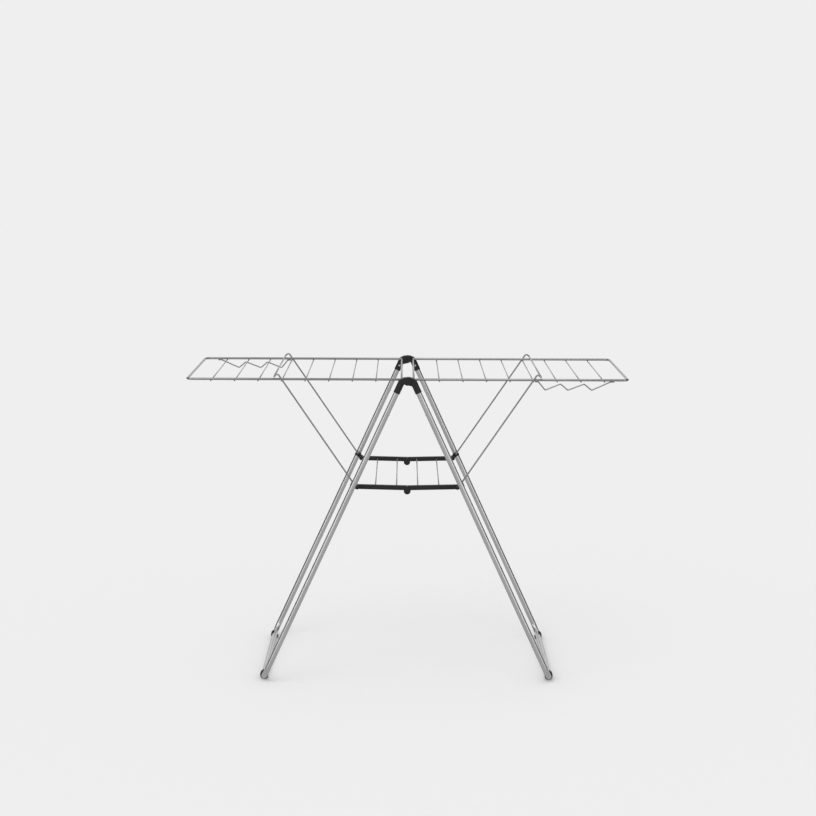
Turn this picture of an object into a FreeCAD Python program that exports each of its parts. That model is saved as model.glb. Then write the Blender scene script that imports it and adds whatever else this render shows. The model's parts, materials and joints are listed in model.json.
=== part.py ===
import FreeCAD, Part
import math
import os

# A free-standing folding clothes drying rack, opened for use. All lengths are millimetres.
# X runs along the two wings, Y across the rack from the near side to the far side, Z up.
# The origin is on the floor under the middle of the rack.
# A half turn about Z carries the rack onto itself. Each part is shaped once, on the left leg,
# the right wing or the left half of the shelf, and is turned for the other side.

# leg frames: one bent tube each, two legs and the bar on the floor
leg_tube_radius = 8.75
leg_tube_wall = 1.0
leg_plane = 288.0             # distance of a leg's axis from the middle of the rack
floor_bar_x = 446.0
floor_bar_height = 12.5
apex_height = 984.6           # where the axes of the left and right legs would cross
leg_corner_radius = 40.0      # bend into the floor bar, on the tube's axis
tube_top_height = 940.0

# connectors: plastic heads on the legs, hinged to each other
hinge_height = 947.0
ear_radius = 12.8
ear_gap = 0.3                 # between an ear and what it turns beside or inside
sleeve_radius = 10.2
sleeve_bottom_height = 911.0
shoulder_down = 43.0          # distance of the shoulder below the apex, along the leg
crown_height = 960.0
head_start = 6.0              # the full-width head starts this far from the middle
web_down_outer_ear = 46.9     # lower end of the head below the apex, along the leg
web_down_inner_ear = 53.9
head_round = 2.5
hinge_pin_radius = 3.0
hinge_pin_cover = 1.7         # plastic left over the blind end of the hinge pin
running_clearance = 0.05      # radial, where one part turns on another
spigot_radius = leg_tube_radius - leg_tube_wall
spigot_bottom_height = 832.0

# rivets
sleeve_rivet_height = 926.5
sleeve_rivet_head_radius = 3.8
sleeve_rivet_shank_radius = 2.0
spigot_rivet_height = 845.0
spigot_rivet_head_radius = 2.6
spigot_rivet_shank_radius = 1.5
rivet_head_depth = 1.4
rivet_head_sunk = 0.8

# wings
rail_height = 950.0
rail_plane = 269.0
rail_radius = 3.75
wing_end_x = 673.0
wing_corner_radius = 16.5
wing_pivot_x = 18.5
pivot_rod_radius = 3.0
pivot_bore_clearance = 0.1
pivot_bore_depth = 8.0
pivot_end_gap = 1.0           # between the end of the pivot rod and its bore
rung_radius = 1.8
rung_half_length = 272.5
rung_count = 8
rung_pitch = 72.0
last_gap = rung_pitch         # last rung to the end of the wing

# zigzag wire for clothes hangers, under one rail of each wing
hanger_radius = 2.0
hanger_start_x = 389.0
hanger_drop_x = 399.0
hanger_steps = [(420.0, 467.0), (489.0, 539.0), (562.0, 619.0)]   # each valley, and the peak after it
hanger_end_x = 631.0
hanger_valley_drop = 31.0
hanger_peak_drop = 12.0
hanger_bend_radius = 4.5

# braces: two bent wires and a cross rod hold up each wing
brace_radius = 2.5
brace_plane = 275.5
brace_foot_height = 627.0
brace_foot_bend = 2.8
brace_foot_reach = 286.0      # the foot ends inside the leg tube
brace_crown = (396.4, 968.0)  # x and height where the arm and the hook's end would meet
brace_hook_end = (404.9, 961.0)
brace_hook_radius = 6.0
cross_rod_overhang = 3.0

# shelf: two hinged plastic bars on each side, joined by thin wires
shelf_pivot_x = 153.6
shelf_pivot_height = 617.0
shelf_bar_inner = 253.0
shelf_bar_outer = 265.0
shelf_bar_above = 6.0         # reach above the line from the pivot to the middle
shelf_bar_below = 8.4         # reach below it
shelf_middle_height = 613.5   # centre line of the bars where the halves meet
shelf_butt_gap = 0.3
knuckle_height = 603.0
knuckle_radius = 10.6
shelf_pin_radius = 2.5
shelf_bar_round = 2.0
shelf_wire_radius = 1.8
shelf_wire_places = [32.7, 98.2]
shelf_wire_half_length = 257.0
shelf_wire_height = 615.3
shelf_pin_in_bar = 255.5      # the left pins reach this far into the bars
shelf_pin_short = 266.0       # the right pins stop here, clear of the bars

# brackets: plastic clips on the legs for the shelf and the brace feet
bracket_face = 278.2
bracket_outer = 287.0
bracket_radius = leg_plane - bracket_face
bracket_up = 4.5              # reach above the brace foot, along the leg
bracket_down = 8.5            # reach below it
bracket_boss_radius = 5.5

# foot pads: rubber sleeves, open at the top, pushed on the floor bar
pad_radius = 12.9
pad_inner_end = 228.0
pad_outer_end = 247.0
pad_open_from = -20.0         # degrees from the rack's middle side, towards the top
pad_open_to = 100.0
pad_mouth_steps = 4           # the mouth is cut with this many flat sides

# cutting shapes
cut_margin = 1.0              # how far a cut runs past the face that it opens
cut_reach = 100.0             # size of a cut that takes all of one side away
same_plane = 0.01             # faces closer than this lie on one plane

Vector = FreeCAD.Vector
along_y = Vector(0, 1, 0)
lean = math.atan2(floor_bar_x, apex_height - floor_bar_height)
up_leg = Vector(math.sin(lean), 0, math.cos(lean))
inward = Vector(math.cos(lean), 0, -math.sin(lean))
hinge_point = Vector(0, 0, hinge_height)
wing_pivot = Vector(wing_pivot_x, 0, rail_height)
shelf_pivot = Vector(-shelf_pivot_x, 0, shelf_pivot_height)
knuckle_point = Vector(0, 0, knuckle_height)


def leg_point(down, offset=0.0, y=0.0):
    # a point on the left leg's plane: down the leg from the apex, then in towards the other leg
    return Vector(0, y, apex_height) - up_leg * down + inward * offset


def down_to(height):
    return (apex_height - height) / math.cos(lean)


def half_turn(shape):
    turned = shape.copy()
    turned.rotate(Vector(0, 0, 0), Vector(0, 0, 1), 180)
    return turned


def far_copy(shape):
    return shape.mirror(Vector(0, 0, 0), along_y)


def rod(radius, start, end):
    return Part.makeCylinder(radius, (end - start).Length, start, end - start)


def rod_in_y(radius, point, first_y, last_y):
    start = Vector(point.x, first_y, point.z)
    end = Vector(point.x, last_y, point.z)
    return rod(radius, start, end)


def rounded_route(points, radii):
    # straight runs through the points, with a tangent arc of its own radius at each corner
    edges = []
    start = points[0]
    for before, corner, after, radius in zip(points, points[1:], points[2:], radii):
        to_before = (before - corner).normalize()
        to_after = (after - corner).normalize()
        half_angle = to_before.getAngle(to_after) / 2
        setback = radius / math.tan(half_angle)
        cut_corner = radius / math.sin(half_angle) - radius
        enter = corner + to_before * setback
        leave = corner + to_after * setback
        middle = corner + (to_before + to_after).normalize() * cut_corner
        edges.append(Part.LineSegment(start, enter).toShape())
        edges.append(Part.Arc(enter, middle, leave).toShape())
        start = leave
    edges.append(Part.LineSegment(start, points[-1]).toShape())
    return Part.Wire(edges)


def rod_along(route, radius):
    first = route.Edges[0]
    start = first.valueAt(first.FirstParameter)
    direction = first.tangentAt(first.FirstParameter)
    profile = Part.Wire([Part.Circle(start, direction, radius).toShape()])
    return route.makePipeShell([profile], True, True)


def slab(outline, inner_y, outer_y):
    # an outline drawn in X and Z, thick between two distances from the middle, near side
    face = Part.Face(Part.Wire(outline))
    face.translate(Vector(0, -outer_y, 0))
    return face.extrude(Vector(0, outer_y - inner_y, 0))


def line(start, end):
    return Part.LineSegment(start, end).toShape()


def round_edges(solid, radius, wanted):
    return solid.makeFillet(radius, [edge for edge in solid.Edges if wanted(edge)])


def dome_rivet(head_radius, shank_radius, seat, outward, shank_length):
    # a domed head, sunk a little in the round wall, and its shank, made along Z and then placed
    height = rivet_head_depth + rivet_head_sunk
    dome_radius = (head_radius ** 2 + height ** 2) / (2 * height)
    centre = Vector(0, 0, rivet_head_depth - dome_radius)
    rim_latitude = math.degrees(math.asin((dome_radius - height) / dome_radius))
    head = Part.makeSphere(dome_radius, centre, Vector(0, 0, 1), rim_latitude, 90, 360)
    shank = Part.makeCylinder(shank_radius, shank_length, Vector(0, 0, -shank_length))
    rivet = head.fuse(shank)
    rivet.Placement = FreeCAD.Placement(seat, FreeCAD.Rotation(Vector(0, 0, 1), outward))
    return rivet


# leg frames

def sleeve_rivet():
    seat = leg_point(down_to(sleeve_rivet_height), 0, -(leg_plane - sleeve_radius))
    return dome_rivet(sleeve_rivet_head_radius, sleeve_rivet_shank_radius, seat, along_y, sleeve_radius)


def spigot_rivet():
    seat = leg_point(down_to(spigot_rivet_height), leg_tube_radius, -leg_plane)
    return dome_rivet(spigot_rivet_head_radius, spigot_rivet_shank_radius, seat, inward, leg_tube_radius)


def brace_foot_bore():
    foot = leg_point(down_to(brace_foot_height))
    radius = brace_radius + running_clearance
    return rod_in_y(radius, foot, -leg_plane, -(bracket_face - cut_margin))


def leg_frame():
    corners = [
        leg_point(down_to(tube_top_height), 0, -leg_plane),
        Vector(-floor_bar_x, -leg_plane, floor_bar_height),
        Vector(-floor_bar_x, leg_plane, floor_bar_height),
        leg_point(down_to(tube_top_height), 0, leg_plane),
    ]
    route = rounded_route(corners, [leg_corner_radius, leg_corner_radius])
    tube = rod_along(route, leg_tube_radius).cut(rod_along(route, leg_tube_radius - leg_tube_wall))
    near_holes = [sleeve_rivet(), spigot_rivet(), brace_foot_bore()]
    far_holes = [far_copy(hole) for hole in near_holes]
    return tube.cut(near_holes + far_holes)


# connectors

def connector(own_inner, own_outer, other_inner, other_outer, web_down):
    # the near-left connector, whose ear lies between own_inner and own_outer from the middle
    face_in = leg_plane - sleeve_radius
    face_out = leg_plane + sleeve_radius
    shoulder = leg_point(shoulder_down, -sleeve_radius)
    rise = crown_height - shoulder.z
    arch_radius = (shoulder.x ** 2 + rise ** 2) / (2 * rise)

    def arch(x):
        return Vector(x, 0, crown_height - arch_radius + math.sqrt(arch_radius ** 2 - x ** 2))

    web_foot = leg_point(web_down, sleeve_radius)
    heel = leg_point(web_down, -sleeve_radius)
    ear_bottom = Vector(0, 0, hinge_height - ear_radius)
    crown = arch(0)
    neck = slab([
        Part.Arc(shoulder, arch(shoulder.x / 2), crown).toShape(),
        line(crown, ear_bottom),
        line(ear_bottom, web_foot),
        line(web_foot, heel),
        line(heel, shoulder),
    ], own_inner, own_outer)
    head_edge = arch(-head_start)
    head = slab([
        Part.Arc(shoulder, arch((shoulder.x - head_start) / 2), head_edge).toShape(),
        line(head_edge, web_foot),
        line(web_foot, heel),
        line(heel, shoulder),
    ], face_in, face_out)

    def on_outside(edge):
        # curved top edges of the two broad faces, not those between the ears
        middle = edge.valueAt((edge.FirstParameter + edge.LastParameter) / 2)
        outside = min(abs(-middle.y - face_in), abs(-middle.y - face_out)) < same_plane
        return outside and isinstance(edge.Curve, Part.Circle)

    neck = round_edges(neck, head_round, on_outside)
    head = round_edges(head, head_round, on_outside)
    ear = round_edges(rod_in_y(ear_radius, hinge_point, -own_outer, -own_inner), head_round, on_outside)
    room = rod_in_y(ear_radius + ear_gap, hinge_point, -other_outer, -other_inner)
    sleeve = rod(
        sleeve_radius,
        leg_point(web_down_outer_ear, 0, -leg_plane),
        leg_point(down_to(sleeve_bottom_height), 0, -leg_plane),
    )
    body = head.fuse([sleeve]).cut(room).fuse([neck, ear])
    tube_top = leg_point(down_to(tube_top_height), 0, -leg_plane)
    below_sleeve = leg_point(down_to(sleeve_bottom_height) + cut_margin, 0, -leg_plane)
    spigot_end = leg_point(down_to(spigot_bottom_height), 0, -leg_plane)
    body = body.cut(rod(leg_tube_radius, tube_top, below_sleeve))
    body = body.fuse(rod(spigot_radius, tube_top + up_leg * cut_margin, spigot_end))
    left_wing_pivot = Vector(-wing_pivot.x, 0, wing_pivot.z)
    wing_bore = rod_in_y(
        pivot_rod_radius + pivot_bore_clearance,
        left_wing_pivot,
        -(face_in + pivot_bore_depth),
        -(face_in - cut_margin),
    )
    return body.cut([wing_bore, sleeve_rivet(), spigot_rivet()]).removeSplitter()


def hinge_bore(radius):
    face_in = leg_plane - sleeve_radius
    face_out = leg_plane + sleeve_radius
    return rod_in_y(radius, hinge_point, -(face_out - hinge_pin_cover), -(face_in - cut_margin))


def outer_ear_connector():
    split = leg_plane + ear_gap / 2
    face_in = leg_plane - sleeve_radius
    face_out = leg_plane + sleeve_radius
    body = connector(split, face_out, face_in - cut_margin, split, web_down_outer_ear)
    return body.cut(hinge_bore(hinge_pin_radius))


def inner_ear_connector():
    split = leg_plane - ear_gap / 2
    face_in = leg_plane - sleeve_radius
    face_out = leg_plane + sleeve_radius
    body = connector(face_in, split, split, face_out + cut_margin, web_down_inner_ear)
    return body.cut(hinge_bore(hinge_pin_radius + running_clearance))


def hinge_pin():
    first = -(leg_plane + sleeve_radius - hinge_pin_cover)
    last = -(leg_plane - sleeve_radius)
    return rod_in_y(hinge_pin_radius, hinge_point, first, last)


# brackets, their pins and the foot pads

def bracket():
    foot_down = down_to(brace_foot_height)
    foot = leg_point(foot_down)
    collar = rod(
        bracket_radius,
        leg_point(foot_down - bracket_up, 0, -leg_plane),
        leg_point(foot_down + bracket_down, 0, -leg_plane),
    )
    # the boss stands beside the tube, and a straight-sided web joins it to the collar
    boss = rod_in_y(bracket_boss_radius, shelf_pivot, -bracket_outer, -bracket_face)
    web_top = shelf_pivot + up_leg * bracket_boss_radius
    web_bottom = shelf_pivot - up_leg * bracket_boss_radius
    back = inward * -bracket_radius
    web = slab([
        line(web_top, web_bottom),
        line(web_bottom, web_bottom + back),
        line(web_bottom + back, web_top + back),
        line(web_top + back, web_top),
    ], bracket_face, bracket_outer)
    corner = foot - Vector(cut_reach, bracket_outer + cut_reach, cut_reach)
    open_side = Part.makeBox(2 * cut_reach, cut_reach, 2 * cut_reach, corner)
    tube = rod(
        leg_tube_radius,
        leg_point(foot_down - cut_reach, 0, -leg_plane),
        leg_point(foot_down + cut_reach, 0, -leg_plane),
    )
    body = collar.fuse([boss, web]).cut([open_side, tube])
    pin_bore = rod_in_y(
        shelf_pin_radius, shelf_pivot, -(bracket_outer + cut_margin), -(bracket_face - cut_margin)
    )
    return body.cut([pin_bore, brace_foot_bore()]).removeSplitter()


def shelf_pin(reach):
    return rod_in_y(shelf_pin_radius, shelf_pivot, -bracket_outer, -reach)


def foot_pad():
    axis = Vector(-floor_bar_x, 0, floor_bar_height)
    ring = rod_in_y(pad_radius, axis, -pad_outer_end, -pad_inner_end)
    hole = rod_in_y(leg_tube_radius, axis, -(pad_outer_end + cut_margin), -(pad_inner_end - cut_margin))
    reach = 3 * pad_radius
    corners = [axis - along_y * pad_outer_end]
    for step in range(pad_mouth_steps + 1):
        angle = math.radians(pad_open_from + (pad_open_to - pad_open_from) * step / pad_mouth_steps)
        corners.append(corners[0] + Vector(math.cos(angle), 0, math.sin(angle)) * reach)
    wedge = Part.Face(Part.makePolygon(corners + [corners[0]]))
    mouth = wedge.extrude(along_y * (pad_outer_end - pad_inner_end))
    below_floor = Part.makeBox(
        2 * reach, pad_outer_end - pad_inner_end, reach, Vector(axis.x - reach, -pad_outer_end, -reach)
    )
    return ring.cut([hole, mouth, below_floor])


# wings, shaped on the right

def wing_frame():
    start_x = wing_pivot_x + pivot_rod_radius
    corners = [
        Vector(start_x, -rail_plane, rail_height),
        Vector(wing_end_x, -rail_plane, rail_height),
        Vector(wing_end_x, rail_plane, rail_height),
        Vector(start_x, rail_plane, rail_height),
    ]
    return rod_along(rounded_route(corners, [wing_corner_radius, wing_corner_radius]), rail_radius)


def wing_pivot_rod():
    half_length = leg_plane - sleeve_radius + pivot_bore_depth - pivot_end_gap
    return rod_in_y(pivot_rod_radius, wing_pivot, -half_length, half_length)


def rung(place):
    x = wing_end_x - last_gap - rung_pitch * (rung_count - 1 - place)
    centre = Vector(x, 0, rail_height - rail_radius - rung_radius)
    return rod_in_y(rung_radius, centre, -rung_half_length, rung_half_length)


def hanger_wire():
    top = rail_height - rail_radius - hanger_radius
    points = [Vector(hanger_start_x, -rail_plane, top), Vector(hanger_drop_x, -rail_plane, top)]
    for valley_x, peak_x in hanger_steps:
        points.append(Vector(valley_x, -rail_plane, rail_height - hanger_valley_drop))
        points.append(Vector(peak_x, -rail_plane, rail_height - hanger_peak_drop))
    points[-1].z = top
    points.append(Vector(hanger_end_x, -rail_plane, top))
    return rod_along(rounded_route(points, [hanger_bend_radius] * (len(points) - 2)), hanger_radius)


# braces, shaped on the left

def brace_arm():
    foot = leg_point(down_to(brace_foot_height))
    points = [
        Vector(foot.x, -brace_foot_reach, foot.z),
        Vector(foot.x, -brace_plane, foot.z),
        Vector(-brace_crown[0], -brace_plane, brace_crown[1]),
        Vector(-brace_hook_end[0], -brace_plane, brace_hook_end[1]),
    ]
    return rod_along(rounded_route(points, [brace_foot_bend, brace_hook_radius]), brace_radius)


def cross_rod():
    crown = Vector(-brace_crown[0], 0, brace_crown[1])
    end = Vector(-brace_hook_end[0], 0, brace_hook_end[1])
    centre = end + (end - crown).normalize() * brace_radius
    half_length = brace_plane + brace_radius + cross_rod_overhang
    return rod_in_y(brace_radius, centre, -half_length, half_length)


# shelf, shaped on the left half

def shelf_bar(ear_inner, ear_outer, other_inner, other_outer):
    above = Vector(0, 0, shelf_bar_above)
    below = Vector(0, 0, -shelf_bar_below)
    middle = Vector(-shelf_butt_gap / 2, 0, shelf_middle_height)
    beam = slab([
        line(shelf_pivot + above, middle + above),
        line(middle + above, middle + below),
        line(middle + below, shelf_pivot + below),
        line(shelf_pivot + below, shelf_pivot + above),
    ], shelf_bar_inner, shelf_bar_outer)
    beam = round_edges(beam, shelf_bar_round, lambda edge: edge.Length > shelf_pivot_x / 2)
    end_radius = (shelf_bar_above + shelf_bar_below) / 2
    end_centre = shelf_pivot + (above + below) / 2
    end = round_edges(
        rod_in_y(end_radius, end_centre, -shelf_bar_outer, -shelf_bar_inner),
        shelf_bar_round,
        lambda edge: isinstance(edge.Curve, Part.Circle),
    )
    room = rod_in_y(knuckle_radius + ear_gap, knuckle_point, -other_outer, -other_inner)
    knuckle = rod_in_y(knuckle_radius, knuckle_point, -ear_outer, -ear_inner)
    body = beam.fuse(end).cut(room).fuse(knuckle)
    end_bore = rod_in_y(
        shelf_pin_radius + running_clearance,
        shelf_pivot,
        -(shelf_bar_outer + cut_margin),
        -shelf_pin_in_bar,
    )
    wire_bores = [shelf_wire(place) for place in shelf_wire_places]
    return body.cut([end_bore] + wire_bores)


def knuckle_bore(radius):
    return rod_in_y(
        radius, knuckle_point, -(shelf_bar_outer + cut_margin), -(shelf_bar_inner - cut_margin)
    )


def shelf_bar_outer_knuckle():
    split = (shelf_bar_inner + shelf_bar_outer + ear_gap) / 2
    body = shelf_bar(split, shelf_bar_outer, shelf_bar_inner - cut_margin, split)
    return body.cut(knuckle_bore(shelf_pin_radius))


def shelf_bar_inner_knuckle():
    split = (shelf_bar_inner + shelf_bar_outer - ear_gap) / 2
    body = shelf_bar(shelf_bar_inner, split, split, shelf_bar_outer + cut_margin)
    return body.cut(knuckle_bore(shelf_pin_radius + running_clearance))


def knuckle_pin():
    return rod_in_y(shelf_pin_radius, knuckle_point, -shelf_bar_outer, -shelf_bar_inner)


def shelf_wire(place):
    centre = Vector(-place, 0, shelf_wire_height)
    return rod_in_y(shelf_wire_radius, centre, -shelf_wire_half_length, shelf_wire_half_length)


def write(node, shape):
    shape.exportStep("parts/" + node + ".step")


def near_and_far(solid):
    return Part.makeCompound([solid, far_copy(solid)])


os.makedirs("parts", exist_ok=True)

left_leg_parts = {
    "leg_frame": leg_frame(),
    "sleeve_rivets": near_and_far(sleeve_rivet()),
    "spigot_rivets": near_and_far(spigot_rivet()),
}
for node, shape in left_leg_parts.items():
    write("left_" + node, shape)
    write("right_" + node, half_turn(shape))

outer_ear = outer_ear_connector()
inner_ear = inner_ear_connector()
write("near_left_connector", outer_ear)
write("far_right_connector", half_turn(outer_ear))
write("far_left_connector", far_copy(inner_ear))
write("near_right_connector", half_turn(far_copy(inner_ear)))
write("near_hinge_pin", hinge_pin())
write("far_hinge_pin", half_turn(hinge_pin()))

near_left_parts = {"bracket": bracket(), "foot_pad": foot_pad(), "brace_arm": brace_arm()}
for node, shape in near_left_parts.items():
    write("near_left_" + node, shape)
    write("far_left_" + node, far_copy(shape))
    write("near_right_" + node, half_turn(far_copy(shape)))
    write("far_right_" + node, half_turn(shape))
write("left_shelf_pins", near_and_far(shelf_pin(shelf_pin_in_bar)))
write("right_shelf_pins", half_turn(near_and_far(shelf_pin(shelf_pin_short))))

right_wing_parts = {"frame": wing_frame(), "pivot_rod": wing_pivot_rod(), "hanger_wire": hanger_wire()}
for place in range(rung_count):
    right_wing_parts["rung_" + str(place + 1)] = rung(place)
for node, shape in right_wing_parts.items():
    write("right_wing_" + node, shape)
    write("left_wing_" + node, half_turn(shape))

write("left_brace_cross_rod", cross_rod())
write("right_brace_cross_rod", half_turn(cross_rod()))

outer_knuckle = shelf_bar_outer_knuckle()
inner_knuckle = shelf_bar_inner_knuckle()
write("near_left_shelf_bar", outer_knuckle)
write("far_left_shelf_bar", far_copy(outer_knuckle))
write("near_right_shelf_bar", half_turn(far_copy(inner_knuckle)))
write("far_right_shelf_bar", half_turn(inner_knuckle))
write("shelf_knuckle_pins", near_and_far(knuckle_pin()))
for number, place in enumerate(shelf_wire_places, start=1):
    write("left_shelf_wire_" + str(number), shelf_wire(place))
    write("right_shelf_wire_" + str(number), half_turn(shelf_wire(place)))
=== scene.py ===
import json
import math

import bmesh
import bpy
import numpy as np
from mathutils import Matrix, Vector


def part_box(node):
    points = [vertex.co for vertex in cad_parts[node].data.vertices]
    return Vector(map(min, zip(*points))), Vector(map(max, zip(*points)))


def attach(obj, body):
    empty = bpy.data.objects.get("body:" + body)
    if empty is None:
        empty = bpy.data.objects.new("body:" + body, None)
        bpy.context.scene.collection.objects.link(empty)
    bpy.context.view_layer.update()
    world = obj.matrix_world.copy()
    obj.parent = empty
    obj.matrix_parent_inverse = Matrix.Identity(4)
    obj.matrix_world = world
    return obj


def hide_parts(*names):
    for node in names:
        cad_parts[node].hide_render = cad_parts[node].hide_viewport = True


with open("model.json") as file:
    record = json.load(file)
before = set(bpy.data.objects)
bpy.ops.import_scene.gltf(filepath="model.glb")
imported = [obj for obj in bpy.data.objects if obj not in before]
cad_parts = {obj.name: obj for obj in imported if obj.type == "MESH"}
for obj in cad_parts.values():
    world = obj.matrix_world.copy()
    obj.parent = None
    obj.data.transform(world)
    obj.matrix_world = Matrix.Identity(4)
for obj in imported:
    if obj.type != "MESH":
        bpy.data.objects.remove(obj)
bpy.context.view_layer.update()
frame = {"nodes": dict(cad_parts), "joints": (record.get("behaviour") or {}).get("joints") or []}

# A folding clothes drying rack. Lengths are metres, and anything called ...Mm is millimetres.
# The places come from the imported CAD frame. Tubes, wires, welds and rivet heads are made here as
# smooth surfaces, and the plastic and rubber mouldings are the CAD shapes with broken edges.

sides = ("left", "right")
ends = ("near", "far")
yAxis = np.array([0.0, 1.0, 0.0])
zAxis = np.array([0.0, 0.0, 1.0])
joints = {joint["name"]: joint for joint in frame["joints"]}
creaseAngle = math.radians(50)       # a sharper edge than this is shaded as a crease
print("frame loaded:", len(frame["nodes"]), "nodes")


def signX(side):
    return -1.0 if side == "left" else 1.0


def signY(end):
    return -1.0 if end == "near" else 1.0


def cadBox(node):
    low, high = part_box(node)
    return np.array(low), np.array(high)


def cadCentre(node):
    low, high = cadBox(node)
    return (low + high) / 2


def unit(vector):
    return np.asarray(vector, float) / np.linalg.norm(vector)


def makeMesh(name, points, quads, triangles=None):
    # points is (n, 3), quads (m, 4) and triangles (k, 3) hold indices into it
    points = np.asarray(points, np.float32)
    quads = np.asarray(quads, np.int32).reshape(-1, 4)
    triangles = np.asarray([] if triangles is None else triangles, np.int32).reshape(-1, 3)
    mesh = bpy.data.meshes.new(name)
    mesh.vertices.add(len(points))
    mesh.vertices.foreach_set("co", points.ravel())
    corners = np.concatenate([quads.ravel(), triangles.ravel()])
    sizes = np.concatenate([np.full(len(quads), 4), np.full(len(triangles), 3)])
    starts = np.concatenate([[0], np.cumsum(sizes)[:-1]])
    mesh.loops.add(len(corners))
    mesh.loops.foreach_set("vertex_index", corners.astype(np.int32))
    mesh.polygons.add(len(sizes))
    mesh.polygons.foreach_set("loop_start", starts.astype(np.int32))
    mesh.polygons.foreach_set("use_smooth", np.ones(len(sizes), bool))
    mesh.update(calc_edges=True)
    mesh.validate()
    mesh.set_sharp_from_angle(angle=creaseAngle)
    piece = bpy.data.objects.new(name, mesh)
    bpy.context.scene.collection.objects.link(piece)
    return piece


def roundedPath(corners, radii, turnStep=math.radians(7)):
    # straight runs between the corners, and at each inner corner an arc tangent to both runs
    corners = np.asarray(corners, float)
    path = [corners[:1]]
    for before, corner, after, radius in zip(corners, corners[1:], corners[2:], radii):
        toBefore = unit(before - corner)
        toAfter = unit(after - corner)
        half = math.acos(np.clip(toBefore @ toAfter, -1, 1)) / 2
        turn = math.pi - 2 * half
        centre = corner + unit(toBefore + toAfter) * radius / math.sin(half)
        outward = unit(corner + toBefore * radius / math.tan(half) - centre)
        forward = -toBefore
        angles = np.linspace(0, turn, max(3, math.ceil(turn / turnStep) + 1))[:, None]
        path.append(centre + radius * (np.cos(angles) * outward + np.sin(angles) * forward))
    path.append(corners[-1:])
    return np.concatenate(path)


def sweptRings(path, guide, radii, count):
    # ring i is path[i] + radii[i] (cos(a) across + sin(a) upright), where upright is the guide
    # with its part along the path taken out, and across is square to both
    steps = np.diff(path, axis=0)
    steps /= np.linalg.norm(steps, axis=1, keepdims=True)
    tangents = np.concatenate([steps[:1], steps[:-1] + steps[1:], steps[-1:]])
    tangents /= np.linalg.norm(tangents, axis=1, keepdims=True)
    guide = np.broadcast_to(np.asarray(guide, float), path.shape)
    upright = guide - (guide * tangents).sum(1, keepdims=True) * tangents
    upright /= np.linalg.norm(upright, axis=1, keepdims=True)
    across = np.cross(upright, tangents)
    angles = np.linspace(0, 2 * math.pi, count, endpoint=False)
    cosines, sines = np.cos(angles)[None, :, None], np.sin(angles)[None, :, None]
    circle = cosines * across[:, None] + sines * upright[:, None]
    return path[:, None] + np.asarray(radii)[:, None, None] * circle


def ringQuads(rows, count, loop=False):
    # quads between neighbouring rings, closed round each ring and, for a loop, from last to first
    row = np.arange(rows if loop else rows - 1)[:, None]
    column = np.arange(count)[None, :]
    here, there = row * count, (row + 1) % rows * count
    beside = (column + 1) % count
    corners = [here + column, here + beside, there + beside, there + column]
    return np.stack(corners, -1).reshape(-1, 4)


def closedPieces(name, points, rows, count):
    # points is (copies, rows * count + 2, 3): for each copy its rings and then its two poles. Quads
    # join the rings, and a fan of triangles closes each end on its pole.
    around = np.arange(count)
    beside = (around + 1) % count
    startPole, endPole, lastRing = rows * count, rows * count + 1, (rows - 1) * count
    startFan = np.stack([np.full(count, startPole), beside, around], 1)
    endFan = np.stack([np.full(count, endPole), lastRing + around, lastRing + beside], 1)
    shift = (np.arange(len(points)) * points.shape[1])[:, None, None]
    quads = (ringQuads(rows, count)[None] + shift).reshape(-1, 4)
    fans = (np.concatenate([startFan, endFan])[None] + shift).reshape(-1, 3)
    return makeMesh(name, points.reshape(-1, 3), quads, fans)


def sweptRod(name, path, radius, guide, count=20, chamfer=0.0004):
    # a solid round wire along a path, with a small chamfer at its two cut ends
    path = np.asarray(path, float)
    first, last = unit(path[1] - path[0]) * chamfer, unit(path[-1] - path[-2]) * chamfer
    line = np.concatenate([path[:1], path[:1] + first, path[1:-1], path[-1:] - last, path[-1:]])
    radii = np.full(len(line), radius)
    radii[[0, -1]] -= chamfer
    rings = sweptRings(line, guide, radii, count)
    points = np.concatenate([rings.reshape(-1, 3), path[:1], path[-1:]])
    return closedPieces(name, points[None], len(line), count)


def sweptTube(name, path, radius, wall, guide, count=40):
    # a hollow tube: the outer skin carried forward along the path, and the bore carried back
    path = np.asarray(path, float)
    outer = sweptRings(path, guide, np.full(len(path), radius), count)
    inner = sweptRings(path, guide, np.full(len(path), radius - wall), count)
    rings = np.concatenate([outer, inner[::-1]])
    return makeMesh(name, rings.reshape(-1, 3), ringQuads(len(rings), count, loop=True))


def beads(name, centres, sizes, count=10, rows=6):
    # ellipsoids for weld beads, with half axes from sizes. At longitude u and latitude v the unit ball
    # is x = cos(v) cos(u), y = cos(v) sin(u), z = sin(v)
    u = np.linspace(0, 2 * math.pi, count, endpoint=False)[None, :]
    v = np.linspace(-math.pi / 2, math.pi / 2, rows + 1)[1:-1, None]
    ball = np.stack([np.cos(v) * np.cos(u), np.cos(v) * np.sin(u), np.sin(v) + 0 * u], -1)
    ball = np.concatenate([ball.reshape(-1, 3), [[0, 0, -1], [0, 0, 1]]])
    centres = np.asarray(centres, float)
    sizes = np.broadcast_to(np.asarray(sizes, float), centres.shape)
    return closedPieces(name, centres[:, None] + ball[None] * sizes[:, None], rows - 1, count)


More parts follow.
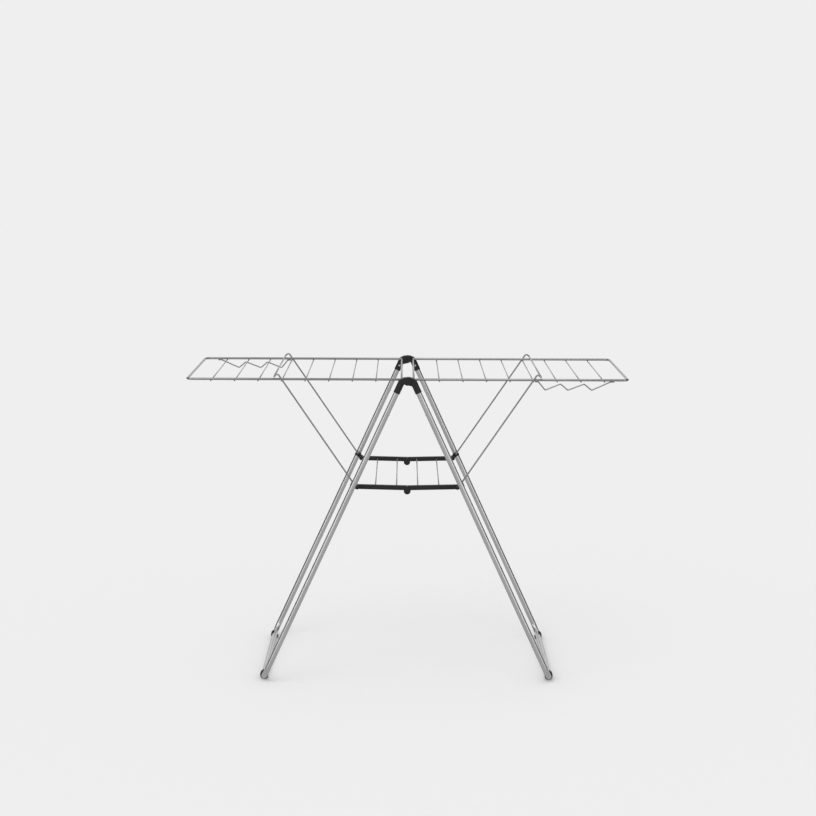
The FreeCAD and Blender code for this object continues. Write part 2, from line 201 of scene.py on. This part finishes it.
def turnedPieces(name, seats, axes, radii, heights, count=24):
    # the same turned shape on every seat: at angle u the surface is the seat, plus the height along
    # the axis, plus the radius times cos(u) side + sin(u) across
    seats, axes = np.asarray(seats, float), np.asarray(axes, float)
    side = np.cross(axes, yAxis + zAxis * 0.3)       # never in line with an axis
    side /= np.linalg.norm(side, axis=1, keepdims=True)
    across = np.cross(axes, side)
    u = np.linspace(0, 2 * math.pi, count, endpoint=False)
    circle = np.cos(u)[:, None] * side[:, None, None] + np.sin(u)[:, None] * across[:, None, None]
    radii, heights = np.asarray(radii, float), np.asarray(heights, float)
    rings = radii[:, None, None] * circle + heights[:, None, None] * axes[:, None, None]
    rings = (rings + seats[:, None, None]).reshape(len(seats), -1, 3)
    poles = seats[:, None] + heights[[0, -1]][:, None] * axes[:, None]
    return closedPieces(name, np.concatenate([rings, poles], axis=1), len(radii), count)


def place(piece, body, material, replaced=()):
    piece.data.materials.clear()
    piece.data.materials.append(material)
    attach(piece, body)
    if replaced:
        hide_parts(*replaced)
    return piece


def fromHex(text, brightness=1.0):
    # sRGB hex to the linear colour that a shader works in, made darker or brighter
    srgb = np.array([int(text[i:i + 2], 16) for i in (1, 3, 5)]) / 255
    linear = np.where(srgb <= 0.04045, srgb / 12.92, ((srgb + 0.055) / 1.055) ** 2.4)
    return (*np.minimum(linear * brightness, 1.0).tolist(), 1.0)


def node(tree, kind, settings=None, inputs=None, links=None, stops=()):
    # adds one node: its settings, the values of its sockets, what feeds each socket, and for a
    # colour ramp its stops
    made = tree.nodes.new(kind)
    for key, value in (settings or {}).items():
        setattr(made, key, value)
    for key, value in (inputs or {}).items():
        made.inputs[key].default_value = value
    for key, source in (links or {}).items():
        tree.links.new(source, made.inputs[key])
    for index, (position, colour) in enumerate(stops):
        made.color_ramp.elements[index].position = position
        made.color_ramp.elements[index].color = colour
    return made


def newMaterial(name):
    material = bpy.data.materials.new(name)
    material.use_nodes = True
    tree = material.node_tree
    tree.nodes.clear()
    return material, tree


def perMetre(sizeMm):
    # pattern scale for a feature of that size, with Object coordinates in metres
    return 1000.0 / sizeMm


powderCoat = {
    "tubeColour": "#BABABA",
    "wireColour": "#929292",
    "roughness": (0.20, 0.30),
    "metallic": 0.80,        # aluminium flake in the powder
    "orangePeelMm": 1.6,     # ripple of a powder coat
    "flakeMm": 0.35,         # real flakes are 0.03 mm, drawn as coarse as they need to show
    "driftMm": 90.0,         # slow change of the coat's thickness
    "flakeShare": 0.10,
    "driftShare": 0.16,
    "darkStop": (0.02, 0.84),        # place on the ramp, and brightness there
    "lightStop": (0.22, 1.14),
    "bumpStrength": 0.6,
    "bump": 0.00003,
}


def powderCoatedSteel(name, colour):
    # steel with a grey polyester powder coat full of aluminium flake: a soft satin streak along
    # each tube, darker where it turns away, and a very fine orange peel
    p = powderCoat
    material, tree = newMaterial(name)
    where = node(tree, "ShaderNodeTexCoord").outputs["Object"]
    peel = node(tree, "ShaderNodeTexNoise",
                inputs={"Scale": perMetre(p["orangePeelMm"]), "Detail": 2.0}, links={"Vector": where})
    flake = node(tree, "ShaderNodeTexVoronoi", inputs={"Scale": perMetre(p["flakeMm"])},
                 links={"Vector": where})
    drift = node(tree, "ShaderNodeTexNoise",
                 inputs={"Scale": perMetre(p["driftMm"]), "Detail": 1.0}, links={"Vector": where})
    speckle = node(tree, "ShaderNodeMath", {"operation": "MULTIPLY_ADD"},
                   {1: p["flakeShare"], 2: 0.0}, {0: flake.outputs["Color"]})
    shade = node(tree, "ShaderNodeMath", {"operation": "MULTIPLY_ADD"},
                 {1: p["driftShare"]}, {0: drift.outputs["Fac"], 2: speckle.outputs[0]})
    stops = [(at, fromHex(colour, bright)) for at, bright in (p["darkStop"], p["lightStop"])]
    ramp = node(tree, "ShaderNodeValToRGB", links={"Fac": shade.outputs[0]}, stops=stops)
    least, most = p["roughness"]
    rough = node(tree, "ShaderNodeMapRange", inputs={"To Min": least, "To Max": most},
                 links={"Value": peel.outputs["Fac"]})
    bump = node(tree, "ShaderNodeBump", inputs={"Strength": p["bumpStrength"], "Distance": p["bump"]},
                links={"Height": peel.outputs["Fac"]})
    paint = node(tree, "ShaderNodeBsdfPrincipled", inputs={"Metallic": p["metallic"]},
                 links={"Base Color": ramp.outputs["Color"], "Roughness": rough.outputs["Result"],
                        "Normal": bump.outputs["Normal"]})
    node(tree, "ShaderNodeOutputMaterial", links={"Surface": paint.outputs["BSDF"]})
    return material


polyamide = {
    "colour": "#101011",
    "roughness": (0.35, 0.51),
    "ior": 1.53,
    "specular": 0.36,        # the eroded skin sends back less than polished polyamide
    "sparkMm": 0.5,          # a spark-eroded mould leaves about 0.1 mm, drawn coarser so that it shows
    "flowMm": 14.0,          # cloudy patches where the melt has flowed
    "darkStop": (0.3, 0.8),
    "lightStop": (0.7, 1.3),
    "bumpStrength": 0.7,
    "bump": 0.00004,
}


def injectionMouldedPolyamide():
    # black injection-moulded polyamide: a fine eroded texture that breaks up the highlight
    p = polyamide
    material, tree = newMaterial("injectionMouldedPolyamide")
    where = node(tree, "ShaderNodeTexCoord").outputs["Object"]
    grain = node(tree, "ShaderNodeTexNoise",
                 inputs={"Scale": perMetre(p["sparkMm"]), "Detail": 3.0, "Roughness": 0.65},
                 links={"Vector": where})
    flow = node(tree, "ShaderNodeTexNoise", inputs={"Scale": perMetre(p["flowMm"]), "Detail": 2.0},
                links={"Vector": where})
    stops = [(at, fromHex(p["colour"], bright)) for at, bright in (p["darkStop"], p["lightStop"])]
    ramp = node(tree, "ShaderNodeValToRGB", links={"Fac": flow.outputs["Fac"]}, stops=stops)
    least, most = p["roughness"]
    rough = node(tree, "ShaderNodeMapRange", inputs={"To Min": least, "To Max": most},
                 links={"Value": grain.outputs["Fac"]})
    bump = node(tree, "ShaderNodeBump", inputs={"Strength": p["bumpStrength"], "Distance": p["bump"]},
                links={"Height": grain.outputs["Fac"]})
    plastic = node(tree, "ShaderNodeBsdfPrincipled",
                   inputs={"IOR": p["ior"], "Specular IOR Level": p["specular"]},
                   links={"Base Color": ramp.outputs["Color"], "Roughness": rough.outputs["Result"],
                          "Normal": bump.outputs["Normal"]})
    node(tree, "ShaderNodeOutputMaterial", links={"Surface": plastic.outputs["BSDF"]})
    return material


footRubber = {
    "colour": "#121212",
    "roughness": 0.72,
    "ior": 1.5,
    "grainMm": 0.7,          # the mould's grain is about 0.1 mm, drawn coarser so that it shows
    "dustMm": 9.0,           # patches of floor dust
    "cleanStop": (0.35, 1.0),
    "dustyStop": (0.75, 2.2),
    "bumpStrength": 0.6,
    "bump": 0.00006,
}


def mouldedThermoplasticRubber():
    # black soft-touch rubber, injection moulded: matt, a little greyer where floor dust holds
    p = footRubber
    material, tree = newMaterial("mouldedThermoplasticRubber")
    where = node(tree, "ShaderNodeTexCoord").outputs["Object"]
    grain = node(tree, "ShaderNodeTexNoise", inputs={"Scale": perMetre(p["grainMm"]), "Detail": 2.0},
                 links={"Vector": where})
    dust = node(tree, "ShaderNodeTexNoise", inputs={"Scale": perMetre(p["dustMm"]), "Detail": 4.0},
                links={"Vector": where})
    stops = [(at, fromHex(p["colour"], bright)) for at, bright in (p["cleanStop"], p["dustyStop"])]
    ramp = node(tree, "ShaderNodeValToRGB", links={"Fac": dust.outputs["Fac"]}, stops=stops)
    bump = node(tree, "ShaderNodeBump", inputs={"Strength": p["bumpStrength"], "Distance": p["bump"]},
                links={"Height": grain.outputs["Fac"]})
    rubber = node(tree, "ShaderNodeBsdfPrincipled",
                  inputs={"Roughness": p["roughness"], "IOR": p["ior"]},
                  links={"Base Color": ramp.outputs["Color"], "Normal": bump.outputs["Normal"]})
    node(tree, "ShaderNodeOutputMaterial", links={"Surface": rubber.outputs["BSDF"]})
    return material


zincPlate = {
    "colour": "#B9BABC",
    "roughness": (0.22, 0.42),
    "turningMm": 0.6,        # tool marks are about 0.05 mm, drawn coarser so that they show
    "bumpStrength": 0.5,
    "bump": 0.00002,
}


def zincPlatedSteel():
    # bright zinc-plated steel rivets, faintly marked by the tool that set them
    p = zincPlate
    material, tree = newMaterial("zincPlatedSteel")
    where = node(tree, "ShaderNodeTexCoord").outputs["Object"]
    marks = node(tree, "ShaderNodeTexNoise", inputs={"Scale": perMetre(p["turningMm"]), "Detail": 3.0},
                 links={"Vector": where})
    least, most = p["roughness"]
    rough = node(tree, "ShaderNodeMapRange", inputs={"To Min": least, "To Max": most},
                 links={"Value": marks.outputs["Fac"]})
    bump = node(tree, "ShaderNodeBump", inputs={"Strength": p["bumpStrength"], "Distance": p["bump"]},
                links={"Height": marks.outputs["Fac"]})
    steel = node(tree, "ShaderNodeBsdfPrincipled",
                 inputs={"Base Color": fromHex(p["colour"]), "Metallic": 1.0},
                 links={"Roughness": rough.outputs["Result"], "Normal": bump.outputs["Normal"]})
    node(tree, "ShaderNodeOutputMaterial", links={"Surface": steel.outputs["BSDF"]})
    return material


blackOxide = {
    "colour": "#2E2E30",
    "roughness": (0.34, 0.52),
    "bloomMm": 1.2,          # blotches of the bath
}


def blackOxideSteel():
    # steel pin with a black oxide finish from a hot salt bath: dark and satin, faintly blotched
    p = blackOxide
    material, tree = newMaterial("blackOxideSteel")
    where = node(tree, "ShaderNodeTexCoord").outputs["Object"]
    bloom = node(tree, "ShaderNodeTexNoise", inputs={"Scale": perMetre(p["bloomMm"]), "Detail": 2.0},
                 links={"Vector": where})
    least, most = p["roughness"]
    rough = node(tree, "ShaderNodeMapRange", inputs={"To Min": least, "To Max": most},
                 links={"Value": bloom.outputs["Fac"]})
    steel = node(tree, "ShaderNodeBsdfPrincipled",
                 inputs={"Base Color": fromHex(p["colour"]), "Metallic": 1.0},
                 links={"Roughness": rough.outputs["Result"]})
    node(tree, "ShaderNodeOutputMaterial", links={"Surface": steel.outputs["BSDF"]})
    return material


tubePaint = powderCoatedSteel("powderCoatedSteelTube", powderCoat["tubeColour"])
wirePaint = powderCoatedSteel("powderCoatedSteelWire", powderCoat["wireColour"])
blackPlastic = injectionMouldedPolyamide()
blackRubber = mouldedThermoplasticRubber()
zincSteel = zincPlatedSteel()
blackSteel = blackOxideSteel()
print("materials made")


# leg frames: one bent tube each
legTube = {
    "radius": 0.00875,
    "wall": 0.001,
    "cornerRadius": 0.040,
    "topHeight": 0.940,
    "turnStep": math.radians(4),
}
legPlane = cadBox("left_leg_frame")[1][1] - legTube["radius"]
floorBarX = -cadBox("left_leg_frame")[0][0] - legTube["radius"]
floorBarZ = cadBox("left_leg_frame")[0][2] + legTube["radius"]
braceFoot = np.array(joints["right_brace_swing"]["pos_m"])      # lies on the right leg's axis
lean = math.atan2(floorBarX - braceFoot[0], braceFoot[2] - floorBarZ)


def legAxis(side, height, y):
    x = floorBarX - (height - floorBarZ) * math.tan(lean)
    return np.array([signX(side) * x, y, height])


def legFrame(side):
    p = legTube
    foot = [legAxis(side, floorBarZ, -legPlane), legAxis(side, floorBarZ, legPlane)]
    top = [legAxis(side, p["topHeight"], -legPlane), legAxis(side, p["topHeight"], legPlane)]
    path = roundedPath([top[0], foot[0], foot[1], top[1]], [p["cornerRadius"]] * 2, p["turnStep"])
    square = np.cross(unit(top[0] - foot[0]), yAxis)
    tube = sweptTube(side + "LegTube", path, p["radius"], p["wall"], square)
    place(tube, side + "_leg", tubePaint, [side + "_leg_frame"])


for side in sides:
    legFrame(side)
print("leg frames made")


# wings: bent rail, pivot rod, rungs, hanger wire and their welds
wing = {
    "railRadius": 0.00375,
    "railStart": 0.6,                # the rail starts this many rod radii past the rod's axis
    "pivotRodRadius": 0.003,
    "cornerRadius": 0.0165,
    "turnStep": math.radians(5),
    "rungRadius": 0.0018,
    "rungs": 8,
    "rungBead": (0.0024, 0.0028, 0.0012),       # half axes of a weld bead
    "railBead": (0.0017, 0.0042, 0.0042),
}
railLow, railHigh = cadBox("right_wing_frame")
railZ = (railLow[2] + railHigh[2]) / 2
railY = railHigh[1] - wing["railRadius"]
wingEndX = railHigh[0] - wing["railRadius"]
pivotX = joints["right_wing_fold"]["pos_m"][0]


def wingRail(side):
    p = wing
    s = signX(side)
    startX = pivotX + p["pivotRodRadius"] * p["railStart"]
    corners = [(s * x, y, railZ) for x, y in (
        (startX, -railY), (wingEndX, -railY), (wingEndX, railY), (startX, railY))]
    path = roundedPath(corners, [p["cornerRadius"]] * 2, p["turnStep"])
    rail = sweptRod(side + "WingRail", path, p["railRadius"], zAxis, 24)
    place(rail, side + "_wing", wirePaint, [side + "_wing_frame"])


def straightWire(name, cadNode, radius, body, count=16):
    # a straight wire along Y, where the CAD has it
    low, high = cadBox(cadNode)
    centre = (low + high) / 2
    path = [(centre[0], low[1], centre[2]), (centre[0], high[1], centre[2])]
    wire = sweptRod(name, path, radius, zAxis, count)
    place(wire, body, wirePaint, [cadNode])


def wingWelds(side):
    p = wing
    s = signX(side)
    rungX = [cadCentre(f"{side}_wing_rung_{i + 1}")[0] for i in range(p["rungs"])]
    under = railZ - p["railRadius"]
    rungBeads = [(x, y, under) for x in rungX for y in (-railY, railY)]
    railBeads = [(s * (pivotX + p["pivotRodRadius"]), y, railZ) for y in (-railY, railY)]
    centres = np.array(rungBeads + railBeads)
    sizes = np.array([p["rungBead"]] * len(rungBeads) + [p["railBead"]] * len(railBeads))
    place(beads(side + "WingWelds", centres, sizes), side + "_wing", wirePaint)


hanger = {
    "radius": 0.002,
    "startX": 0.389,
    "dropX": 0.399,
    "steps": [(0.420, 0.467), (0.489, 0.539), (0.562, 0.619)],   # each valley, then its peak
    "endX": 0.631,
    "valleyDrop": 0.031,
    "peakDrop": 0.012,
    "bendRadius": 0.0045,
    "seat": 0.85,                    # its straight ends lie this many radii under the rail
    "weldInset": 0.004,
    "bead": (0.0045, 0.0022, 0.0012),
}


def hangerWire(side):
    # the right wing has it under the near rail, and the left wing under the far rail
    p = hanger
    s = signX(side)
    y = -s * railY
    top = railZ - wing["railRadius"] - p["radius"] * p["seat"]
    heights = [(p["startX"], top), (p["dropX"], top)]
    for valleyX, peakX in p["steps"]:
        heights += [(valleyX, railZ - p["valleyDrop"]), (peakX, railZ - p["peakDrop"])]
    heights[-1] = (p["steps"][-1][1], top)
    heights.append((p["endX"], top))
    path = roundedPath([(s * x, y, z) for x, z in heights], [p["bendRadius"]] * (len(heights) - 2))
    wire = sweptRod(side + "HangerWire", path, p["radius"], yAxis, 16)
    place(wire, side + "_wing", wirePaint, [side + "_wing_hanger_wire"])
    weldX = [p["startX"] + p["weldInset"], p["endX"] - p["weldInset"]]
    centres = [(s * x, y, railZ - wing["railRadius"]) for x in weldX]
    welds = beads(side + "HangerWelds", centres, p["bead"])
    place(welds, side + "_wing", wirePaint)


for side in sides:
    wingRail(side)
    cadNode = side + "_wing_pivot_rod"
    straightWire(side + "WingPivotRod", cadNode, wing["pivotRodRadius"], side + "_wing", 24)
    for i in range(wing["rungs"]):
        cadNode = f"{side}_wing_rung_{i + 1}"
        straightWire(f"{side}WingRung{i + 1}", cadNode, wing["rungRadius"], side + "_wing")
    wingWelds(side)
    hangerWire(side)
print("wings made")


# braces: two bent arms and a cross rod
brace = {
    "radius": 0.0025,
    "plane": 0.2755,
    "footReach": 0.286,
    "footBend": 0.0028,
    "crown": (0.3964, 0.968),
    "hookEnd": (0.4049, 0.961),
    "hookBend": 0.006,
    "bead": (0.0034, 0.0034, 0.0030),
    "beadIn": 0.7,                   # in radii of the rod, from its axis towards the middle
    "beadUp": 0.5,
}


def braceArm(side, end):
    p = brace
    s, t = signX(side), signY(end)
    crown = np.array([s * p["crown"][0], t * p["plane"], p["crown"][1]])
    foot = np.array([s * braceFoot[0], t * p["plane"], braceFoot[2]])
    corners = [
        foot + yAxis * t * (p["footReach"] - p["plane"]),
        foot,
        crown,
        (s * p["hookEnd"][0], t * p["plane"], p["hookEnd"][1]),
    ]
    path = roundedPath(corners, [p["footBend"], p["hookBend"]])
    # this guide is never in line with the wire: it is half across the rack, half square to the arm
    guide = yAxis + np.cross(unit(crown - foot), yAxis)
    arm = sweptRod(f"{side}BraceArm{end.title()}", path, p["radius"], guide, 16)
    place(arm, side + "_brace", wirePaint, [f"{end}_{side}_brace_arm"])


for side in sides:
    for end in ends:
        braceArm(side, end)
    cadNode = side + "_brace_cross_rod"
    straightWire(side + "BraceCrossRod", cadNode, brace["radius"], side + "_brace")
    rodCentre = cadCentre(cadNode)
    corner = np.array([-signX(side) * brace["beadIn"], 0, brace["beadUp"]]) * brace["radius"]
    spots = [rodCentre + corner + yAxis * signY(end) * brace["plane"] for end in ends]
    welds = beads(side + "BraceWelds", spots, brace["bead"])
    place(welds, side + "_brace", wirePaint)
print("braces made")


shelf = {"wireRadius": 0.0018, "wiresPerHalf": 2}
for side in sides:
    for i in range(shelf["wiresPerHalf"]):
        cadNode = f"{side}_shelf_wire_{i + 1}"
        straightWire(f"{side}ShelfWire{i + 1}", cadNode, shelf["wireRadius"], side + "_shelf")
print("shelf wires made")


# heads, brackets, bars and pads: the CAD shapes with broken edges. Each kind has its body, its
# material and slot, and the width of its edges.
moulded = {
    "connector": ("leg", blackPlastic, "black_plastic", 0.0004),
    "bracket": ("leg", blackPlastic, "black_plastic", 0.0003),
    "shelf_bar": ("shelf", blackPlastic, "black_plastic", 0.0003),
    "foot_pad": ("leg", blackRubber, "foot_rubber", 0.0005),
}
brokenEdge = {
    "merge": 0.000002,               # CAD corners closer than this are one
    "flatAngle": math.radians(0.5),  # faces that turn less than this are joined into one
    "edgeAngle": math.radians(35),   # an edge sharper than this is broken
    "segments": 2,
}


def mouldedPiece(side, end, kind):
    # the CAD mesh is merged, its flat faces are joined, and each sharp edge gets a narrow round
    p = brokenEdge
    body, material, slot, width = moulded[kind]
    cadNode = f"{end}_{side}_{kind}"
    mesh = frame["nodes"][cadNode].data.copy()
    merged = bmesh.new()
    merged.from_mesh(mesh)
    bmesh.ops.remove_doubles(merged, verts=merged.verts, dist=p["merge"])
    flat = [edge for edge in merged.edges
            if edge.is_manifold and edge.calc_face_angle() < p["flatAngle"]]
    bmesh.ops.dissolve_limit(merged, angle_limit=p["flatAngle"], verts=merged.verts, edges=flat)
    merged.to_mesh(mesh)
    merged.free()
    pieceName = side + end.title() + kind.title().replace("_", "") + "Moulding"
    piece = bpy.data.objects.new(pieceName, mesh)
    bpy.context.scene.collection.objects.link(piece)
    bevel = piece.modifiers.new("brokenEdges", "BEVEL")
    bevel.width = width
    bevel.segments = p["segments"]
    bevel.limit_method = "ANGLE"
    bevel.angle_limit = p["edgeAngle"]
    mesh.polygons.foreach_set("use_smooth", np.ones(len(mesh.polygons), bool))
    mesh.set_sharp_from_angle(angle=p["edgeAngle"])
    place(piece, f"{side}_{body}", material, [cadNode])


for side in sides:
    for end in ends:
        for kind in moulded:
            mouldedPiece(side, end, kind)
print("mouldings made")


# a moulded rib along the middle of each shelf bar, on both faces
rib = {
    "radius": 0.0011,
    "sunk": 0.0006,
    "pivotInset": 0.016,
    "middleInset": 0.016,
    "belowPivot": 0.0012,            # the bar's own middle line, from its pivot
    "aboveKnuckle": 0.0093,          # and from the knuckle
}
shelfPivot = joints["shelf_left_fold"]["pos_m"]
shelfKnuckle = joints["shelf_knuckle"]["pos_m"]


def shelfBarRib(side, end, face):
    p = rib
    s, t = signX(side), signY(end)
    low, high = cadBox(f"{end}_{side}_shelf_bar")
    pivot = np.array([abs(shelfPivot[0]), shelfPivot[2] - p["belowPivot"]])
    middle = np.array([0.0, shelfKnuckle[2] + p["aboveKnuckle"]])
    along = unit(middle - pivot)
    first, last = pivot + along * p["pivotInset"], middle - along * p["middleInset"]
    inner, outer = sorted(abs(y) for y in (low[1], high[1]))
    y = t * (outer - p["sunk"] if face == "Outer" else inner + p["sunk"])
    path = [(s * x, y, z) for x, z in (first, last)]
    piece = sweptRod(f"{side}{end.title()}BarRib{face}", path, p["radius"], zAxis, 12)
    place(piece, side + "_shelf", blackPlastic)


for side in sides:
    for end in ends:
        for face in ("Outer", "Inner"):
            shelfBarRib(side, end, face)
print("bar ribs made")


# rivets: turned domes on the connectors' sleeves and over the spigots
rivets = {
    "sleeve": {"height": 0.9265, "headRadius": 0.0038},
    "spigot": {"height": 0.845, "headRadius": 0.0026},
    "rise": 0.0014,
    "sunk": 0.0008,
    "sleeveRadius": 0.0102,
    "rimRound": 0.0002,
    "crownAngle": 0.08,              # the dome stops here, and its pole closes it
    "rings": 8,
}


def legRivets(side, kind):
    # dome: r = R sin(v), h = rise - R (1 - cos(v)), where R fits the head's radius and full depth
    p, q = rivets, rivets[kind]
    depth = p["rise"] + p["sunk"]
    domeRadius = (q["headRadius"] ** 2 + depth ** 2) / (2 * depth)
    rimAngle = math.asin(q["headRadius"] / domeRadius)
    v = np.linspace(rimAngle, p["crownAngle"], p["rings"])
    radii = np.concatenate([[q["headRadius"] - p["rimRound"]], domeRadius * np.sin(v)])
    heights = np.concatenate([[-p["sunk"]], p["rise"] - domeRadius * (1 - np.cos(v))])
    seats, axes = [], []
    for end in ends:
        t = signY(end)
        if kind == "sleeve":
            seats.append(legAxis(side, q["height"], t * (legPlane - p["sleeveRadius"])))
            axes.append((0, -t, 0))
        else:
            inward = np.array([-signX(side) * math.cos(lean), 0, -math.sin(lean)])
            seats.append(legAxis(side, q["height"], t * legPlane) + inward * legTube["radius"])
            axes.append(inward)
    heads = turnedPieces(f"{side}{kind.title()}RivetHeads", seats, axes, radii, heights)
    place(heads, side + "_leg", zincSteel, [f"{side}_{kind}_rivets"])


for side in sides:
    for kind in ("sleeve", "spigot"):
        legRivets(side, kind)
print("rivets made")

# the pins keep their CAD shapes
pinFinish = {"_pins": blackPlastic, "_hinge_pin": blackSteel}
for name, cadNode in frame["nodes"].items():
    for ending, finish in pinFinish.items():
        if name.endswith(ending):
            cadNode.data.materials.clear()
            cadNode.data.materials.append(finish)
print("pins finished")


# studio: pale floor, even light from all round, and a soft key light from above
studio = {
    "sky": 0.863,                    # brightness of the pale surroundings
    "floorShade": 0.80,              # how much light the floor sends back
    "keyAngle": math.radians(50),
    "keyTilt": (math.radians(32), math.radians(-22)),
    "floorSize": 60.0,
}
# cards that the paint's sheen mirrors: middle, the two half edges, and brightness. They are for
# reflections alone, and neither the lens nor the floor sees them.
cards = {
    "blackCardLeft": ((-2.6, 1.7, 1.4), (0, 2.7, 0), (0, 0, 1.8), 0.02),
    "blackCardRight": ((2.6, 1.7, 1.4), (0, 2.7, 0), (0, 0, 1.8), 0.02),
    "softboxLeft": ((-2.4, -2.0, 1.5), (0.32, -0.38, 0), (0, 0, 1.4), 2.0),
    "softboxRight": ((2.4, -2.0, 1.5), (0.32, 0.38, 0), (0, 0, 1.4), 2.0),
    "greyCardFront": ((0, -7.2, 1.9), (3.0, 0, 0), (0, 0, 1.8), 0.45),
    "greyCardUnder": ((0, -0.5, 0.001), (2.4, 0, 0), (0, 2.2, 0), 0.56),
}


def makeCard(name, middle, halfWidth, halfHeight, brightness):
    # a flat card: its corners are the middle plus or minus each half edge
    middle, halfWidth, halfHeight = np.array(middle), np.array(halfWidth), np.array(halfHeight)
    corners = [
        middle - halfWidth - halfHeight,
        middle + halfWidth - halfHeight,
        middle + halfWidth + halfHeight,
        middle - halfWidth + halfHeight,
    ]
    card = makeMesh(name, corners, [(0, 1, 2, 3)])
    material, tree = newMaterial(name)
    glow = node(tree, "ShaderNodeEmission", inputs={"Strength": brightness})
    node(tree, "ShaderNodeOutputMaterial", links={"Surface": glow.outputs["Emission"]})
    card.data.materials.append(material)
    card.visible_camera = False
    card.visible_diffuse = False
    card.visible_transmission = False
    card.visible_shadow = False


def makeStudio():
    bpy.context.scene.view_settings.view_transform = "Standard"
    p = studio
    world = bpy.data.worlds.new("paleStudio")
    bpy.context.scene.world = world
    world.use_nodes = True
    background = world.node_tree.nodes["Background"]
    background.inputs["Color"].default_value = (1, 1, 1, 1)
    background.inputs["Strength"].default_value = p["sky"]
    half = p["floorSize"] / 2
    corners = [(-half, -half, 0), (half, -half, 0), (half, half, 0), (-half, half, 0)]
    floor = makeMesh("floor", corners, [(0, 1, 2, 3)])
    material, tree = newMaterial("paleFloor")
    shade = p["floorShade"]
    matt = node(tree, "ShaderNodeBsdfDiffuse", inputs={"Color": (shade, shade, shade, 1)})
    node(tree, "ShaderNodeOutputMaterial", links={"Surface": matt.outputs["BSDF"]})
    floor.data.materials.append(material)
    # the key light makes up for what the floor doesn't send back, so floor and sky look the same
    key = bpy.data.lights.new("key", "SUN")
    key.angle = p["keyAngle"]
    tiltX, tiltY = p["keyTilt"]
    key.energy = math.pi * p["sky"] * (1 / shade - 1) / (math.cos(tiltX) * math.cos(tiltY))
    keyLight = bpy.data.objects.new("key", key)
    keyLight.rotation_euler = (tiltX, tiltY, 0)
    bpy.context.scene.collection.objects.link(keyLight)


view = {
    "place": (-0.0113, -5.885, 1.6755),
    "lens": 81.85,
    "down": math.radians(8.24),
    "towardsRight": math.radians(0.13),
    "roll": math.radians(0.235),
}


def makeCamera():
    # looks along +Y from the near side, a little from above
    p = view
    camera = bpy.data.cameras.new("camera")
    camera.sensor_width = 36.0
    camera.lens = p["lens"]
    eye = bpy.data.objects.new("camera", camera)
    pan = Matrix.Rotation(-p["towardsRight"], 3, "Z")
    tilt = Matrix.Rotation(math.pi / 2 - p["down"], 3, "X")
    turned = pan @ tilt @ Matrix.Rotation(p["roll"], 3, "Z")
    eye.location = p["place"]
    eye.rotation_euler = turned.to_euler()
    bpy.context.scene.collection.objects.link(eye)
    bpy.context.scene.camera = eye


makeStudio()
for name, (middle, halfWidth, halfHeight, brightness) in cards.items():
    makeCard(name, middle, halfWidth, halfHeight, brightness)
makeCamera()
print("studio made")
